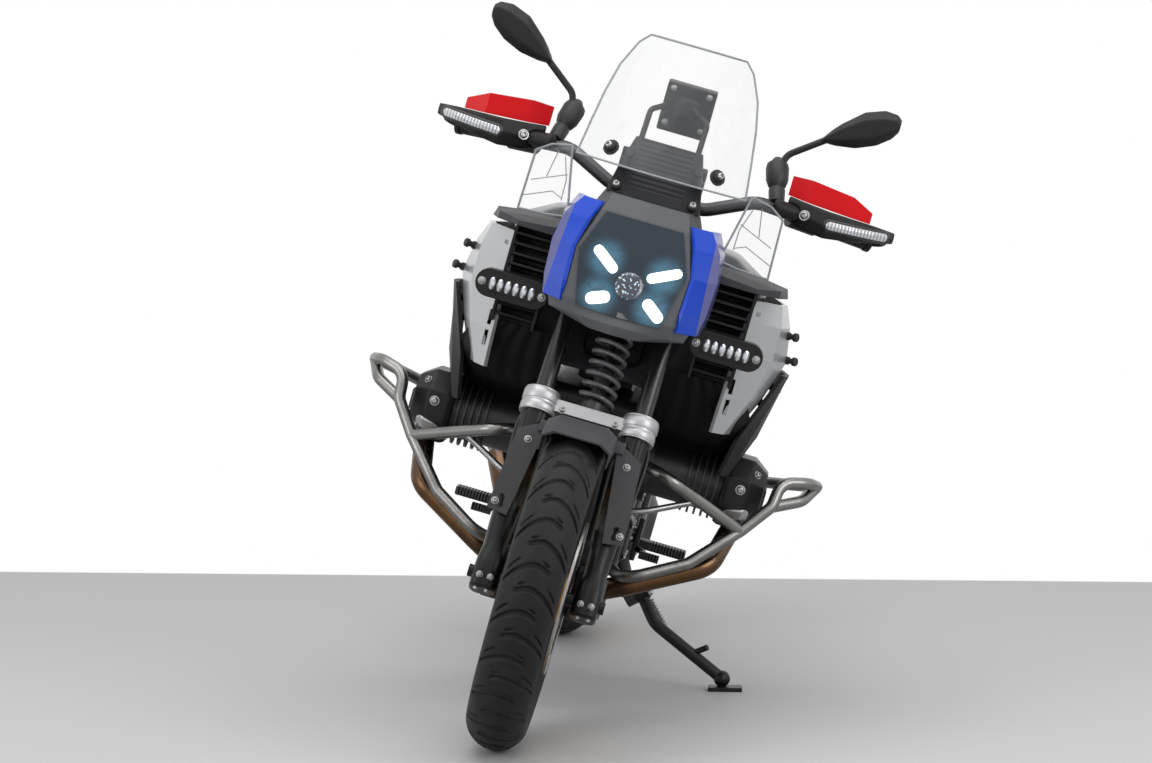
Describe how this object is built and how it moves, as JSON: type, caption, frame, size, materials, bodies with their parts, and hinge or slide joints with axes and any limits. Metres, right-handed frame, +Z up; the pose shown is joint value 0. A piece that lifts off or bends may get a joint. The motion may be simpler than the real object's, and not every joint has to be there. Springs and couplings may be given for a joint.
{
  "type": "adventure motorcycle",
  "caption": "Adventure motorcycle with a flat-twin engine, cross-spoke wheels, tall screen and crash bars, parked leaning on its side stand.",
  "frame": {"origin": "middle of the bottom of the leaning motorcycle's bounding box, on the ground", "axes": "-Y ahead, +Z up, +X towards the rider's left, the side it leans to; the motorcycle leans 16 degrees about Y"},
  "size_m": [1.1276, 2.2475, 1.4823],
  "materials": {
    "arm_black": "dark grey cast metal",
    "bar_gunmetal": "satin gunmetal",
    "bar_steel": "brushed stainless tube",
    "bridge_silver": "cast, satin silver",
    "caliper_grey": "dark grey cast metal",
    "control_black": "matt black",
    "deflector_red": "clear deep red",
    "disc_steel": "ground steel with black carriers",
    "engine_black": "dark grey cast metal, satin",
    "exhaust_steel": "heat-tinted bronze steel",
    "fender_grey": "charcoal",
    "fork_black": "satin black",
    "frame_black": "satin black",
    "housing_grey": "satin dark grey",
    "lamp_glass": "dark blue-grey clear cover",
    "lamp_light": "white light guides",
    "muffler_black": "satin dark steel",
    "panel_black": "matt black",
    "panel_blue": "bright blue",
    "panel_silver": "satin silver",
    "rim_gold": "gold anodised, satin",
    "screen_clear": "clear",
    "seat_black": "black grained cover",
    "skid_metal": "brushed plate",
    "stand_black": "forged, satin black",
    "strut_grey": "grey coil spring and damper",
    "tail_red": "dark red lens",
    "tank_black": "gloss black",
    "tube_black": "gloss black tube",
    "tyre": "matt moulded rubber with tread"
  },
  "bodies": {
    "chassis": {"main_frame": "frame_black", "rear_subframe": "frame_black", "crankcase": "engine_black", "cylinders": "engine_black", "head_covers": "engine_black", "exhaust_pipes": "exhaust_steel", "muffler": "muffler_black", "skid_plate": "skid_metal", "crash_bar_left": "bar_steel", "crash_bar_right": "bar_steel", "fuel_tank": "tank_black", "side_panels": "panel_silver", "wing_panels": "panel_black", "radiators": "panel_black", "shroud_tops": "panel_black", "headlamp_housing": "housing_grey", "headlamp_glass": "lamp_glass", "light_bars": "lamp_light", "blue_panels": "panel_blue", "aux_lamps": "control_black", "windscreen": "screen_clear", "instrument_shroud": "housing_grey", "nav_holder": "control_black", "seats": "seat_black", "luggage_rack": "frame_black", "tail_unit": "panel_black", "tail_lamps": "tail_red", "swingarm": "arm_black", "struts": "strut_grey", "front_arm": "arm_black", "foot_controls": "frame_black"},
    "steering": {"fork_bridges": "bridge_silver", "handlebar": "bar_gunmetal", "bar_controls": "control_black", "fork_tubes": "tube_black", "fork_sliders": "fork_black", "front_fender": "fender_grey", "brake_calipers": "caliper_grey", "hand_guards": "control_black", "guard_deflectors": "deflector_red", "mirrors": "control_black"},
    "front_wheel": {"front_rim": "rim_gold", "front_tyre": "tyre", "front_discs": "disc_steel"},
    "rear_wheel": {"rear_rim": "rim_gold", "rear_tyre": "tyre", "rear_disc": "disc_steel"},
    "side_stand": {"side_stand": "stand_black"}
  },
  "joints": [
    {"name": "steering_turn", "type": "hinge", "parent": "chassis", "child": "steering", "pos_m": [-0.16462, -0.76573, 0.29915], "axis": [0.2473, 0.4415, 0.8625], "range_deg": [-36, 36]},
    {"name": "front_wheel_spin", "type": "hinge", "parent": "steering", "child": "front_wheel", "pos_m": [-0.16013, -0.79884, 0.31481], "axis": [0.9613, 0, -0.2756], "continuous": true},
    {"name": "rear_wheel_spin", "type": "hinge", "parent": "chassis", "child": "rear_wheel", "pos_m": [-0.16175, 0.73516, 0.30917], "axis": [0.9613, 0, -0.2756], "continuous": true},
    {"name": "side_stand_fold", "type": "hinge", "parent": "chassis", "child": "side_stand", "pos_m": [0.00736, -0.05184, 0.21321], "axis": [0.891, 0, 0.454], "range_deg": [0, 90]}
  ]
}
